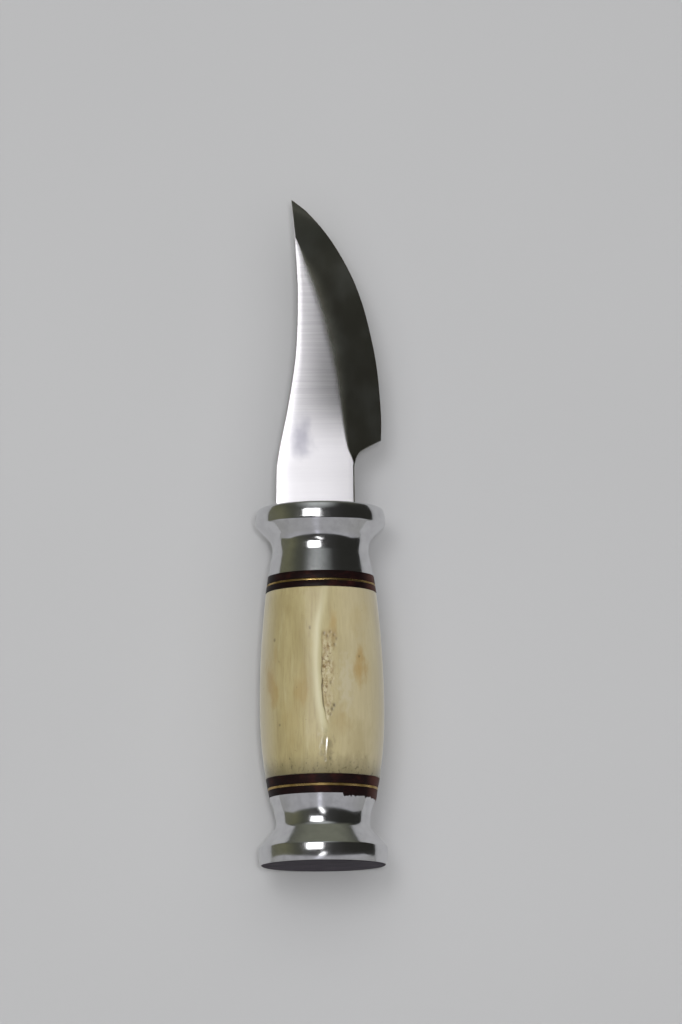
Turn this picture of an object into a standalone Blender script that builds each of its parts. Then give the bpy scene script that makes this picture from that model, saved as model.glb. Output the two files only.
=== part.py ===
"""Hunting knife: an upswept ground blade, a waisted guard and pommel, and a bone grip between spacers.

The knife lies on its side with +Z up: +Y points to the tip and +X to the cutting edge. The origin is on the
surface it lies on, below the middle of its bounding box. Everything is modelled upright about the tang, with
the pommel's end face at zero, and one empty lays the finished knife down. Lengths are in metres.
"""

import math

import bmesh
import bpy

# Lengths along the knife, from the tip to the pommel
blade_length = 0.0853
guard_length = 0.0182
front_outer_liner_length = 0.0021
front_brass_ring_length = 0.0005
front_inner_liner_length = 0.0016
bone_length = 0.0493
rear_inner_liner_length = 0.0024
rear_brass_ring_length = 0.0006
rear_outer_liner_length = 0.0018
pommel_length = 0.0178
glue_line = 0.00004

# The handle is oval: widths are across the knife, and the thickness follows from the one ratio
handle_width = 0.0328
handle_thickness = 0.0249
flatness = handle_thickness / handle_width

# Guard
guard_flange_width = 0.0343
guard_rim_length = 0.0043
guard_waist_width = 0.0255
guard_waist_station = 0.0110
guard_collar_width = 0.0280
guard_face_round = 0.0006
guard_rim_round = 0.0010

# Bone grip, widest at handle_width
bone_front_width = 0.0292
bone_rear_width = 0.0298
bone_belly_station = 0.0184
marrow_width = 0.0130

# The crevice that the bone grew with, on the side that lies upwards
crevice_length = 0.0270
crevice_width = 0.0030
crevice_depth = 0.0009
crevice_offset = 0.0012
crevice_station = 0.0255
crevice_slant = math.radians(4.5)

# Pommel
pommel_flange_width = 0.0336
pommel_rim_length = 0.0046
pommel_waist_width = 0.0246
pommel_waist_station = 0.0110
pommel_collar_width = 0.0279
pommel_face_round = 0.0010
pommel_rim_round = 0.0010

# Blade, measured across from the tang's centre line
blade_thickness = 0.0030
blade_width = 0.0267
blade_back = 0.01185
ricasso_front = 0.0092
ricasso_length = 0.0117
heel_station = 0.0187
bevel_width = 0.0104
edge_thickness = 0.0002
edge_chamfer = 0.0003
# Where the blade narrows or thins, its back chamfer keeps to these shares of its width and half thickness
chamfer_width_share = 0.2
chamfer_half_share = 0.33
tip_setback = 0.0070
tip_width = 0.0003

# Back of the blade: share of blade_length, share of the way across from the tip's line to blade_back
spine_shares = (
    (0.00, 1.00),
    (0.12, 0.96),
    (0.15, 0.91),
    (0.20, 0.76),
    (0.33, 0.30),
    (0.50, -0.14),
    (0.68, -0.27),
    (0.85, -0.17),
    (1.00, 0.00),
)
# Width of the blade: share of the way from the heel to the tip, share of blade_width
width_shares = (
    (0.00, 1.00),
    (0.08, 0.962),
    (0.25, 0.862),
    (0.41, 0.757),
    (0.575, 0.643),
    (0.71, 0.517),
    (0.845, 0.339),
    (0.95, 0.141),
    (1.00, 0.00),
)
# Width of the bevel: share of the way from the heel to the tip, share of bevel_width
bevel_shares = ((0.00, 0.88), (0.08, 0.95), (0.25, 1.00), (0.41, 1.04), (0.71, 0.99), (1.00, 0.87))
# Notch below the heel: share of the way from the ricasso's end to the heel, share from its front to the edge
notch_shares = ((0.00, 0.00), (0.28, 0.06), (0.55, 0.22), (0.78, 0.58), (1.00, 1.00))
# Grind line below the heel: share of the way from the ricasso's end to the heel, share from its front inwards
plunge_shares = ((0.00, 0.00), (0.28, 0.25), (0.60, 0.70), (1.00, 1.00))
# Thickness of the blade: share of blade_length, share of blade_thickness
taper_shares = ((0.00, 1.00), (0.35, 0.97), (0.70, 0.80), (1.00, 0.62))

# Tang and its threaded stud
tang_width = 0.0100
tang_end_width = 0.0070
tang_thickness = 0.0026
tang_length = 0.0600
tang_root = 0.0040
stud_diameter = 0.0050
stud_length = 0.0300
stud_root = 0.0060
tang_clearance = 0.0003
bore_clearance = 0.0003

# Fineness
round_steps = 38
corner_steps = 3
sweep_steps = 6
flare_steps = 4
barrel_steps = 12
blade_steps = 26
notch_steps = 8
ricasso_steps = 2
stud_sides = 24
crevice_rings = 10
crevice_sides = 20
weld_distance = 0.00001
cut_overrun = 0.0010

# Colours
steel_colour = (0.62, 0.61, 0.60)
aluminium_colour = (0.80, 0.80, 0.79)
liner_colour = (0.035, 0.012, 0.009)
brass_colour = (0.66, 0.44, 0.17)
bone_colour = (0.52, 0.44, 0.25)
resin_colour = (0.30, 0.22, 0.12)

# Stations of the stack, from the pommel's end face up
rear_outer_liner_station = pommel_length + glue_line
rear_brass_ring_station = rear_outer_liner_station + rear_outer_liner_length + glue_line
rear_inner_liner_station = rear_brass_ring_station + rear_brass_ring_length + glue_line
bone_station = rear_inner_liner_station + rear_inner_liner_length + glue_line
front_inner_liner_station = bone_station + bone_length + glue_line
front_brass_ring_station = front_inner_liner_station + front_inner_liner_length + glue_line
front_outer_liner_station = front_brass_ring_station + front_brass_ring_length + glue_line
guard_station = front_outer_liner_station + front_outer_liner_length + glue_line
blade_station = guard_station + guard_length + glue_line
overall_length = blade_station + blade_length
# The knife lies on a facet of the guard's flange, which is this far below the tang's centre line
lying_height = guard_flange_width / 2 * flatness * math.cos(math.pi / round_steps)


def clear_scene():
    for old in list(bpy.data.objects):
        bpy.data.objects.remove(old, do_unlink=True)


def new_collection(name, hidden=False):
    collection = bpy.data.collections.new(name)
    collection.hide_render = hidden
    bpy.context.scene.collection.children.link(collection)
    return collection


def new_material(name, colour, roughness, metallic):
    material = bpy.data.materials.new(name)
    material.use_nodes = True
    shader = material.node_tree.nodes["Principled BSDF"]
    shader.inputs["Base Color"].default_value = (*colour, 1)
    shader.inputs["Roughness"].default_value = roughness
    shader.inputs["Metallic"].default_value = metallic
    return material


def smooth_value(pairs, place):
    """The value at a place on a smooth curve through (place, value) pairs."""
    last = len(pairs) - 2
    spot = next((i for i in range(last) if place < pairs[i + 1][0]), last)

    def slope(index):
        before, after = pairs[max(index - 1, 0)], pairs[min(index + 1, len(pairs) - 1)]
        return (after[1] - before[1]) / (after[0] - before[0])

    (start, low), (end, high) = pairs[spot], pairs[spot + 1]
    span = end - start
    t = min(max((place - start) / span, 0), 1)
    return (
        low * (1 + 2 * t) * (1 - t) ** 2
        + high * t * t * (3 - 2 * t)
        + slope(spot) * span * t * (1 - t) ** 2
        - slope(spot + 1) * span * t * t * (1 - t)
    )


def between(low, high, share):
    return low + (high - low) * share


def evenly(low, high, steps):
    return [between(low, high, step / steps) for step in range(steps + 1)]


def arc(centre, radius, start, end, steps):
    """Points (across, along) on an arc, with the angles measured from the +across direction."""
    return [
        (centre[0] + radius * math.cos(angle), centre[1] + radius * math.sin(angle))
        for angle in evenly(start, end, steps)
    ]


def add_object(name, mesh, station, material, collection, laid):
    piece = bpy.data.objects.new(name, mesh)
    piece.location.z = station
    piece.parent = laid
    if material:
        mesh.materials.append(material)
    collection.objects.link(piece)
    return piece


def turned(name, outline, station, material, collection, laid, closed=False):
    """A profile of (across, along) points, turned about the tang and flattened to the handle's oval."""
    mesh = bpy.data.meshes.new(name)
    count = len(outline)
    edges = [(i, i + 1) for i in range(count - 1)] + ([(count - 1, 0)] if closed else [])
    mesh.from_pydata([(across, 0, along) for across, along in outline], edges, [])
    piece = add_object(name, mesh, station, material, collection, laid)
    piece.scale.y = flatness
    screw = piece.modifiers.new("turn", "SCREW")
    screw.steps = round_steps
    screw.render_steps = round_steps
    screw.use_merge_vertices = True
    screw.merge_threshold = weld_distance
    screw.use_smooth_shade = True
    return piece


def cut(piece, cutter):
    boolean = piece.modifiers.new("cut by " + cutter.name, "BOOLEAN")
    boolean.operation = "DIFFERENCE"
    boolean.object = cutter


def join(piece, addition):
    boolean = piece.modifiers.new("join " + addition.name, "BOOLEAN")
    boolean.operation = "UNION"
    boolean.object = addition


def shade(piece):
    """Keeps flat faces flat beside the rounded ones."""
    weighted = piece.modifiers.new("shading", "WEIGHTED_NORMAL")
    weighted.keep_sharp = True


def fitting_outline(length, flange, rim, waist, waist_station, collar, face_round, rim_round):
    """Outer side of a guard or pommel, from its flange's face (along = 0) to its collar's end.

    The rim's inner corner and the hollow of the neck are two arcs that run on from each other, and a third
    arc flares from the waist to the collar. Across is the half width.
    """
    drop = flange - waist
    reach = waist_station - rim
    turn = 2 * math.atan2(drop, reach)
    hollow = reach / math.sin(turn) - rim_round
    flare_reach = length - waist_station
    flare_rise = collar - waist
    flare = (flare_reach**2 + flare_rise**2) / (2 * flare_rise)
    flare_turn = math.asin(flare_reach / flare)
    outline = [(0, 0)]
    outline += arc((flange - face_round, face_round), face_round, -math.pi / 2, 0, corner_steps)
    outline += arc((flange - rim_round, rim), rim_round, 0, turn, corner_steps)
    outline += arc((waist + hollow, waist_station), hollow, math.pi + turn, math.pi, sweep_steps)[1:]
    outline += arc((waist + flare, waist_station), flare, math.pi, math.pi - flare_turn, flare_steps)[1:]
    outline += [(0, length)]
    return outline


def make_guard(material, collection, laid, cutters):
    outline = fitting_outline(
        guard_length,
        guard_flange_width / 2,
        guard_rim_length,
        guard_waist_width / 2,
        guard_waist_station,
        guard_collar_width / 2,
        guard_face_round,
        guard_rim_round,
    )
    # The guard's flange is its upper end, so its outline is turned over
    outline = [(across, guard_length - along) for across, along in outline]
    guard = turned("guard", outline, guard_station, material, collection, laid)
    cut(guard, cutters["tang"])
    shade(guard)


def make_pommel(material, collection, laid, cutters):
    outline = fitting_outline(
        pommel_length,
        pommel_flange_width / 2,
        pommel_rim_length,
        pommel_waist_width / 2,
        pommel_waist_station,
        pommel_collar_width / 2,
        pommel_face_round,
        pommel_rim_round,
    )
    pommel = turned("pommel", outline[::-1], 0, material, collection, laid)
    cut(pommel, cutters["stud"])
    shade(pommel)


def contour(station):
    """Half width of the handle between a collar and the bone, where the spacers are dressed flush."""
    if station < bone_station + bone_length / 2:
        share = (station - pommel_length) / (bone_station - pommel_length)
        return between(pommel_collar_width, bone_rear_width, share) / 2
    bone_front = bone_station + bone_length
    share = (station - bone_front) / (guard_station - bone_front)
    return between(bone_front_width, guard_collar_width, share) / 2


def make_spacer(name, station, length, material, collection, laid, cutter):
    outline = [
        (0, length),
        (contour(station + length), length),
        (contour(station), 0),
        (0, 0),
    ]
    spacer = turned(name, outline, station, material, collection, laid)
    cut(spacer, cutter)
    shade(spacer)


def bone_half_width(along):
    """The bone swells from both ends to its belly along two parabolas."""
    if along > bone_belly_station:
        share = (along - bone_belly_station) / (bone_length - bone_belly_station)
        return between(handle_width, bone_front_width, share**2) / 2
    share = (bone_belly_station - along) / bone_belly_station
    return between(handle_width, bone_rear_width, share**2) / 2


def make_bone(material, collection, laid, cutters):
    bore = marrow_width / 2
    outline = [(bone_half_width(along), along) for along in evenly(bone_length, 0, barrel_steps)]
    outline += [(bore, 0), (bore, bone_length)]
    bone = turned("bone_grip", outline, bone_station, material, collection, laid, closed=True)
    cut(bone, cutters["crevice"])
    shade(bone)


def make_resin(material, collection, laid, cutters):
    radius = marrow_width / 2 - bore_clearance
    outline = [(0, bone_length), (radius, bone_length), (radius, 0), (0, 0)]
    resin = turned("bedding_resin", outline, bone_station, material, collection, laid)
    cut(resin, cutters["tang"])
    cut(resin, cutters["stud"])
    shade(resin)


def blade_section(along):
    """Half of the blade's cross-section at a distance from the guard, from the back to the edge.

    Points are (across, height above the blade's middle plane): back, its chamfer, the grind line, the edge.
    """
    share = along / blade_length
    half = smooth_value(taper_shares, share) * blade_thickness / 2
    edge_half = edge_thickness / 2
    back = -between(tip_setback, blade_back, smooth_value(spine_shares, share))
    heel_share = heel_station / blade_length
    heel_back = -between(tip_setback, blade_back, smooth_value(spine_shares, heel_share))
    heel_front = heel_back + blade_width
    if along >= heel_station:
        past = (along - heel_station) / (blade_length - heel_station)
        width = between(tip_width, blade_width, smooth_value(width_shares, past))
        bevel = smooth_value(bevel_shares, past) * bevel_width
        front = back + width
        half = between(edge_half, half, min(1, width / bevel))
        grind = front - min(bevel, width)
        front_half = edge_half
    elif along > ricasso_length:
        below = (along - ricasso_length) / (heel_station - ricasso_length)
        front = between(ricasso_front, heel_front, smooth_value(notch_shares, below))
        heel_grind = heel_front - bevel_shares[0][1] * bevel_width
        grind = between(ricasso_front, heel_grind, smooth_value(plunge_shares, below))
        front_half = between(half, edge_half, (front - grind) / (heel_front - grind))
    else:
        front = ricasso_front
        grind = ricasso_front
        front_half = half
    chamfer = min(edge_chamfer, (front - back) * chamfer_width_share, half * chamfer_half_share)
    grind = min(max(grind, back + 2 * chamfer), front - chamfer)
    front_half = min(front_half, half - chamfer)
    return [
        (back, 0),
        (back, half - chamfer),
        (back + chamfer, half),
        (grind, half),
        (front, front_half),
        (front, 0),
    ]


def make_blade(material, collection, laid, helpers):
    stations = evenly(0, ricasso_length, ricasso_steps)
    stations += evenly(ricasso_length, heel_station, notch_steps)[1:]
    # Sections crowd towards the tip, where the edge turns fastest
    stations += [
        between(heel_station, blade_length, math.sin(angle))
        for angle in evenly(0, math.pi / 2, blade_steps)[1:]
    ]
    shape = bmesh.new()
    rings = [
        [shape.verts.new((across, height, along)) for across, height in blade_section(along)]
        for along in stations
    ]
    for low, high in zip(rings, rings[1:]):
        for i in range(len(low) - 1):
            shape.faces.new((low[i], high[i], high[i + 1], low[i + 1]))
    shape.faces.new(rings[0])
    shape.faces.new(rings[-1][::-1])
    bmesh.ops.recalc_face_normals(shape, faces=shape.faces)
    mesh = bpy.data.meshes.new("blade")
    shape.to_mesh(mesh)
    shape.free()
    blade = add_object("blade", mesh, blade_station, material, collection, laid)
    mirror = blade.modifiers.new("other face", "MIRROR")
    mirror.use_axis = (False, True, False)
    mirror.merge_threshold = weld_distance
    join(blade, helpers["tang_blank"])
    join(blade, helpers["stud_blank"])
    shade(blade)


def tang_solid(name, clearance, root, collection, laid):
    """The flat tang, which narrows towards the pommel, or its slot when given a clearance."""
    shape = bmesh.new()
    bmesh.ops.create_cube(shape, size=1)
    for corner in shape.verts:
        upper = corner.co.z > 0
        width = (tang_width if upper else tang_end_width) + 2 * clearance
        corner.co.x *= width
        corner.co.y *= tang_thickness + 2 * clearance
        corner.co.z = root if upper else -tang_length - clearance
    mesh = bpy.data.meshes.new(name)
    shape.to_mesh(mesh)
    shape.free()
    return add_object(name, mesh, blade_station, None, collection, laid)


def stud_solid(name, clearance, collection, laid):
    """The round stud on the tang's end, or its hole when given a clearance."""
    shape = bmesh.new()
    radius = stud_diameter / 2 + clearance
    length = stud_length + stud_root + 2 * clearance
    bmesh.ops.create_cone(
        shape, cap_ends=True, segments=stud_sides, radius1=radius, radius2=radius, depth=length
    )
    mesh = bpy.data.meshes.new(name)
    shape.to_mesh(mesh)
    shape.free()
    middle = blade_station - tang_length + stud_root + clearance - length / 2
    return add_object(name, mesh, middle, None, collection, laid)


def crevice_solid(collection, laid):
    """A long narrow lens that dips into the bone's upper side."""
    shape = bmesh.new()
    bmesh.ops.create_uvsphere(shape, u_segments=crevice_sides, v_segments=crevice_rings, radius=1)
    for point in shape.verts:
        point.co.x *= crevice_width / 2
        point.co.y *= crevice_depth
        point.co.z *= crevice_length / 2
    mesh = bpy.data.meshes.new("crevice")
    shape.to_mesh(mesh)
    shape.free()
    lens = add_object("crevice", mesh, bone_station + crevice_station, None, collection, laid)
    lens.location.x = crevice_offset
    lens.location.y = -bone_half_width(crevice_station) * flatness
    lens.rotation_euler.y = -crevice_slant
    return lens


def hide_helper(helper):
    helper.hide_render = True
    helper.display_type = "WIRE"


def main():
    clear_scene()
    parts = new_collection("hunting_knife")
    helping = new_collection("cutters_and_blanks", hidden=True)
    laid = bpy.data.objects.new("laid_on_its_side", None)
    laid.location = (0, -overall_length / 2, lying_height)
    laid.rotation_euler.x = -math.pi / 2
    parts.objects.link(laid)

    steel = new_material("brushed_steel", steel_colour, 0.32, 1)
    aluminium = new_material("polished_aluminium", aluminium_colour, 0.12, 1)
    dark = new_material("dark_spacer", liner_colour, 0.35, 0)
    brass = new_material("brass", brass_colour, 0.25, 1)
    bone = new_material("bone", bone_colour, 0.38, 0)
    resin = new_material("resin", resin_colour, 0.4, 0)

    helpers = {
        "tang_blank": tang_solid("tang_blank", 0, tang_root, helping, laid),
        "stud_blank": stud_solid("stud_blank", 0, helping, laid),
    }
    cutters = {
        "tang": tang_solid("tang_slot", tang_clearance, cut_overrun, helping, laid),
        "stud": stud_solid("stud_hole", tang_clearance, helping, laid),
        "crevice": crevice_solid(helping, laid),
    }
    for helper in (*helpers.values(), *cutters.values()):
        hide_helper(helper)

    make_blade(steel, parts, laid, helpers)
    make_guard(aluminium, parts, laid, cutters)
    front_spacers = (
        ("front_outer_liner", front_outer_liner_station, front_outer_liner_length, dark),
        ("front_brass_ring", front_brass_ring_station, front_brass_ring_length, brass),
        ("front_inner_liner", front_inner_liner_station, front_inner_liner_length, dark),
    )
    for name, station, length, material in front_spacers:
        make_spacer(name, station, length, material, parts, laid, cutters["tang"])
    make_bone(bone, parts, laid, cutters)
    make_resin(resin, parts, laid, cutters)
    rear_spacers = (
        ("rear_inner_liner", rear_inner_liner_station, rear_inner_liner_length, dark),
        ("rear_brass_ring", rear_brass_ring_station, rear_brass_ring_length, brass),
        ("rear_outer_liner", rear_outer_liner_station, rear_outer_liner_length, dark),
    )
    for name, station, length, material in rear_spacers:
        make_spacer(name, station, length, material, parts, laid, cutters["stud"])
    make_pommel(aluminium, parts, laid, cutters)


main()
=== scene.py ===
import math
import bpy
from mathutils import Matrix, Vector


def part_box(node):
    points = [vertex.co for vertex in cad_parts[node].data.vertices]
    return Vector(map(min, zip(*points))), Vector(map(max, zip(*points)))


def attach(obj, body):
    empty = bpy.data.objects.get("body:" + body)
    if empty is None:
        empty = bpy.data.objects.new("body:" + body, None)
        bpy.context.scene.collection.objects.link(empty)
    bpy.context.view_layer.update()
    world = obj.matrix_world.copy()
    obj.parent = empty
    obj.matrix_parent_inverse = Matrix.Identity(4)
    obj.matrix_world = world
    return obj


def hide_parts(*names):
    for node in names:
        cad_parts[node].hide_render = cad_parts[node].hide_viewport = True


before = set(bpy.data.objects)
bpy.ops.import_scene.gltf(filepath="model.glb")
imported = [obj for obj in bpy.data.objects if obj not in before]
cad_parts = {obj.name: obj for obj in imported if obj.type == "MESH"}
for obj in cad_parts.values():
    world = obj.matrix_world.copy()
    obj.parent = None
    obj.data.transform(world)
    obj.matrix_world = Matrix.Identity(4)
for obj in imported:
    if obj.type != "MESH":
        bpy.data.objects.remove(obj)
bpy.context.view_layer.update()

# Looks of the hunting knife: finely rounded fittings, a softly ground blade, grown bone and their finishes.
# Lengths are in metres, in the model's frame: +Y points to the tip, +X to the cutting edge, +Z up.
from types import SimpleNamespace

import bmesh
import bpy
from mathutils import Matrix, Vector, noise

# Fineness: steps round the ovals, along the fittings' outlines and along the bone
oval_steps = 192
corner_steps = 8
crown_steps = 12
hollow_steps = 28
cone_steps = 10
flare_steps = 16
bone_rows = 280
# Steps along the blade
ricasso_rows = 8
notch_rows = 60
edge_rows = 260
# Steps across the blade: its corner at the back, the flat, the softened grind line, the bevel, the stain
back_steps = 6
flat_steps = 14
band_steps = 26
bevel_steps = 10
stain_steps = 3
# Rows between the blade's middle and its corners, at the back and at the front
back_row = 0.5
front_row = 0.4
sharp_angle = math.radians(32)

# Guard and pommel: widths across, lengths from the flange's face
guard_shape = SimpleNamespace(
    rim_length=0.0040,
    waist_width=0.0255,
    waist_station=0.0110,
    collar_width=0.0280,
    face_round=0.0009,
    rim_round=0.0012,
    hollow_radius=0.0050,
    flare_radius=0.0080,
    crown_radius=0.0070,
    crown_station=0.0030,
)
pommel_shape = SimpleNamespace(
    rim_length=0.0044,
    waist_width=0.0246,
    waist_station=0.0110,
    collar_width=0.0279,
    face_round=0.0006,
    rim_round=0.0008,
    hollow_radius=0.0024,
    flare_radius=0.0115,
    crown_radius=0.0115,
    crown_station=0.0036,
)

# Spacers: the radius of a corner, and the points of a corner as shares of it, inward and along
spacer_round = 0.00006
round_shares = ((1.0, 0.0), (0.62, 0.12), (0.2, 0.45), (0.0, 1.0))
# Dark filler on the pommel's collar
filler_length = 0.0008
filler_share = 0.9
filler_ragged = 0.6
filler_full_share = 0.5
filler_height = 0.00012
filler_gap = 0.00003
filler_tip = (0.6, 0.4)
# The arc with fine steps, and the turns where the filler begins and ends, each with the turn it takes
filler_arc = (math.radians(-25), math.radians(72))
filler_begin = (math.radians(-22), math.radians(12))
filler_finish = (math.radians(66), math.radians(3.5))
# Its ragged edge: waves in a radian, and the fading, fineness and count of the noise's octaves
filler_waves = 14
filler_fractal = (0.5, 2.3, 5)
filler_steps = 300
plain_steps = 140

# Bone grip
bone_front_width = 0.0292
bone_rear_width = 0.0298
bone_belly_station = 0.0184
marrow_width = 0.0130
bone_end_round = 0.00015
# Its worn surface: height, waves in a metre across and along, and how far the bone sinks under its box
wear_height = 0.00002
wear_waves = (500, 90)
wear_fractal = (0.8, 2.0, 3)
bone_sink = 0.00004
# Columns of points round the bone, closer together over the crevice
crevice_left = -0.0030
crevice_right = 0.0064
crevice_columns = 64
side_columns = 36
round_columns = 130
# The crevice: station on the bone, place across of its steep left wall, place across of its right border,
# depth, darkness of its dark line of painted shade at the wall's foot
crevice_course = (
    (0.0115, 0.0019, 0.0022, 0.00000, 0.00),
    (0.0135, 0.0013, 0.0027, 0.00008, 0.10),
    (0.0155, 0.0008, 0.0032, 0.00017, 0.25),
    (0.0180, 0.0003, 0.0038, 0.00028, 0.65),
    (0.0240, 0.0001, 0.0045, 0.00040, 1.00),
    (0.0285, 0.0001, 0.0048, 0.00032, 0.40),
    (0.0325, 0.0001, 0.0052, 0.00018, 0.10),
    (0.0360, 0.0000, 0.0056, 0.00013, 0.05),
    (0.0380, 0.0003, 0.0052, 0.00000, 0.00),
)
wall_foot = 0.00014
wall_width = 0.00030
crack_place = 0.00004
crack_half_width = 0.00016
crack_strength = 0.75
full_hollow_depth = 0.00013
floor_fade = 1.4
# Roughness of its floor and patches on it: waves in a metre across and along, place in the noise
rough_waves = (1500, 900, 3.1)
rough_fractal = (0.7, 2.1, 4)
rough_share = 0.35
patch_waves = (420, 260, 5.5)
patch_share = 1.3
# Pits in its floor: place across, station, size, darkness of their painted shade
pits = (
    (0.0032, 0.0176, 0.00034, 0.9),
    (0.0027, 0.0166, 0.00040, 0.7),
    (0.0022, 0.0152, 0.00030, 0.5),
    (0.0007, 0.0366, 0.00036, 0.6),
    (0.0016, 0.0359, 0.00030, 0.5),
    (0.0024, 0.0370, 0.00030, 0.4),
    (0.0033, 0.0362, 0.00036, 0.4),
    (0.0040, 0.0352, 0.00030, 0.4),
    (0.0035, 0.0336, 0.00030, 0.5),
    (0.0024, 0.0236, 0.00032, 0.5),
    (0.0022, 0.0292, 0.00028, 0.4),
)
pit_depth = 0.00012
pit_squeeze = 0.7
# The ridge beside the crevice, made pale by a painted highlight: station on the bone, place across
ridge_course = (
    (0.0080, 0.0010),
    (0.0146, 0.0001),
    (0.0191, -0.0007),
    (0.0260, -0.0012),
    (0.0313, -0.0014),
    (0.0380, -0.0009),
    (0.0449, 0.0004),
    (0.0500, 0.0014),
)
ridge_height = 0.00010
ridge_half_width = 0.00110
ridge_free_depth = 0.00008
# Where something begins, and over what length. The ridge fades by a share only
ridge_begin = (0.0080, 0.006)
ridge_fade = (0.0380, 0.010)
ridge_fade_share = 0.4
# A small raised lip nearer the pommel than the ridge: its places across at two stations
lip_height = 0.000065
lip_half_width = 0.00030
lip_ends_across = (0.00115, 0.00165)
lip_ends_along = (0.0040, 0.0100)
lip_begin = (0.0022, 0.002)
lip_finish = (0.0078, 0.003)
# Unevenness along the bone: size, waves in a metre, place in the noise
wall_wander = (0.00016, 420, (0.3, 0.7))
border_wander = (0.0020, 300, (1.3, 0.1))
crack_breaks = (0.8, 500, (2.1, 0.4))
ridge_wander = (0.0002, 160, (0.5, 0.2))

# Blade
blade_thickness = 0.0030
blade_width = 0.0267
blade_back = 0.01185
ricasso_front = 0.0092
ricasso_length = 0.0117
heel_station = 0.0187
bevel_width = 0.0104
edge_thickness = 0.0002
spine_round = 0.00030
tip_setback = 0.0070
tip_width = 0.0003
edge_stain = 0.0003
roll_drop = 0.00009
roll_of_half = 0.1
flat_bow = 2.0
bow_growth = (0.18, 0.26)
# The corner at the back gets smaller towards the tip, and where the blade is narrow or thin
tip_round = 0.00003
tip_round_growth = 0.012
corner_of_width = 0.2
corner_of_half = 0.4
# Width of the roll-off at the spine: share of blade_length, width
roll_widths = ((0.00, 0.0034), (0.22, 0.0030), (0.45, 0.0018), (1.00, 0.0014))
# Along the whole blade, the spine's place across. From the heel on, the widths of the blade and its bevel
spine_shares = (
    (0.00, 1.00),
    (0.12, 0.96),
    (0.15, 0.91),
    (0.20, 0.76),
    (0.33, 0.30),
    (0.50, -0.14),
    (0.68, -0.27),
    (0.85, -0.17),
    (1.00, 0.00),
)
width_shares = (
    (0.00, 1.00),
    (0.08, 0.962),
    (0.25, 0.862),
    (0.41, 0.757),
    (0.575, 0.643),
    (0.71, 0.517),
    (0.845, 0.339),
    (0.95, 0.141),
    (1.00, 0.00),
)
bevel_shares = (
    (0.00, 0.88),
    (0.08, 0.95),
    (0.25, 1.00),
    (0.41, 1.04),
    (0.62, 1.03),
    (0.72, 1.005),
    (0.776, 0.955),
    (0.8385, 0.88),
    (1.00, 0.80),
)
# From the ricasso to the heel, the front and the grind line. Along the whole blade, the thickness
notch_shares = ((0.00, 0.00), (0.28, 0.06), (0.55, 0.22), (0.78, 0.58), (1.00, 1.00))
plunge_shares = ((0.00, 0.00), (0.28, 0.25), (0.60, 0.70), (1.00, 1.00))
taper_shares = ((0.00, 1.00), (0.35, 0.97), (0.70, 0.80), (1.00, 0.62))
# How far each side of the grind line is softened: share of blade_length, half width of the soft band
soft_bands = ((0.00, 0.0002), (0.20, 0.0004), (0.38, 0.0018), (0.55, 0.0029), (0.80, 0.0024), (1.00, 0.0003))
# It fades out where the flat is narrow, leaves part of the flat and of the bevel, and is shifted to the edge
full_flat_width = 0.0045
band_of_flat = 0.9
band_of_bevel = 0.4
band_shift = 0.2
narrowest_band = 0.00002

# Tang and stud inside the handle
tang_width = 0.0100
tang_end_width = 0.0070
tang_thickness = 0.0026
tang_length = 0.0600
stud_diameter = 0.0050
stud_length = 0.0300
stud_root = 0.0060
clearance = 0.0003
shoulder_gap = 0.00004


def between(low, high, share):
    return low + (high - low) * share


def evenly(low, high, steps):
    return [between(low, high, step / steps) for step in range(steps + 1)]


def ease(value):
    """Rises smoothly from 0 to 1, as the value does evenly."""
    value = min(max(value, 0), 1)
    return value * value * (3 - 2 * value)


def ramp(value, row):
    """Rises smoothly from 0 to 1, from the row's start over its length."""
    start, length = row
    return ease((value - start) / length)


def hump(distance, size):
    return math.exp(-((distance / size) ** 2))


def smooth_value(pairs, place):
    """The value at a place on a smooth curve through (place, value) pairs."""
    last = len(pairs) - 2
    spot = next((i for i in range(last) if place < pairs[i + 1][0]), last)

    def slope(index):
        before, after = pairs[max(index - 1, 0)], pairs[min(index + 1, len(pairs) - 1)]
        return (after[1] - before[1]) / (after[0] - before[0])

    (start, low), (end, high) = pairs[spot], pairs[spot + 1]
    span = end - start
    t = min(max((place - start) / span, 0), 1)
    return (
        low * (1 + 2 * t) * (1 - t) ** 2
        + high * t * t * (3 - 2 * t)
        + slope(spot) * span * t * (1 - t) ** 2
        - slope(spot + 1) * span * t * t * (1 - t)
    )


def arc(centre, radius, start, end, steps):
    return [
        (centre[0] + radius * math.cos(angle), centre[1] + radius * math.sin(angle))
        for angle in evenly(start, end, steps)
    ]


def line(start, end, steps):
    shares = evenly(0, 1, steps)
    return [(between(start[0], end[0], share), between(start[1], end[1], share)) for share in shares]


class Node:
    """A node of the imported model: its ends along the knife, half width, flatness and middle height."""

    def __init__(self, name):
        low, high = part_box(name)
        self.start, self.end = low.y, high.y
        self.length = high.y - low.y
        self.half_width = (high.x - low.x) / 2
        self.flat = (high.z - low.z) / (high.x - low.x)
        self.height = (high.z + low.z) / 2


guard_node = Node("guard")
pommel_node = Node("pommel")
bone_node = Node("bone_grip")
blade_node = Node("blade")
axis_height = guard_node.height
blade_start = guard_node.end
blade_length = blade_node.end - blade_start
tang_end = blade_start - tang_length
even_turns = evenly(0, 2 * math.pi, oval_steps)[:-1]


def oval(half_width, flat, y, turns=even_turns):
    """A ring of points round the handle's axis."""
    return [
        Vector((half_width * math.cos(turn), y, axis_height + half_width * flat * math.sin(turn)))
        for turn in turns
    ]


def slot_ring(half_width, half_height, y):
    """The same count of points on a rectangle round the axis."""
    ring = []
    for turn in even_turns:
        across, up = math.cos(turn), math.sin(turn)
        reach = min(half_width / max(abs(across), 1e-9), half_height / max(abs(up), 1e-9))
        ring.append(Vector((across * reach, y, axis_height + up * reach)))
    return ring


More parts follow.
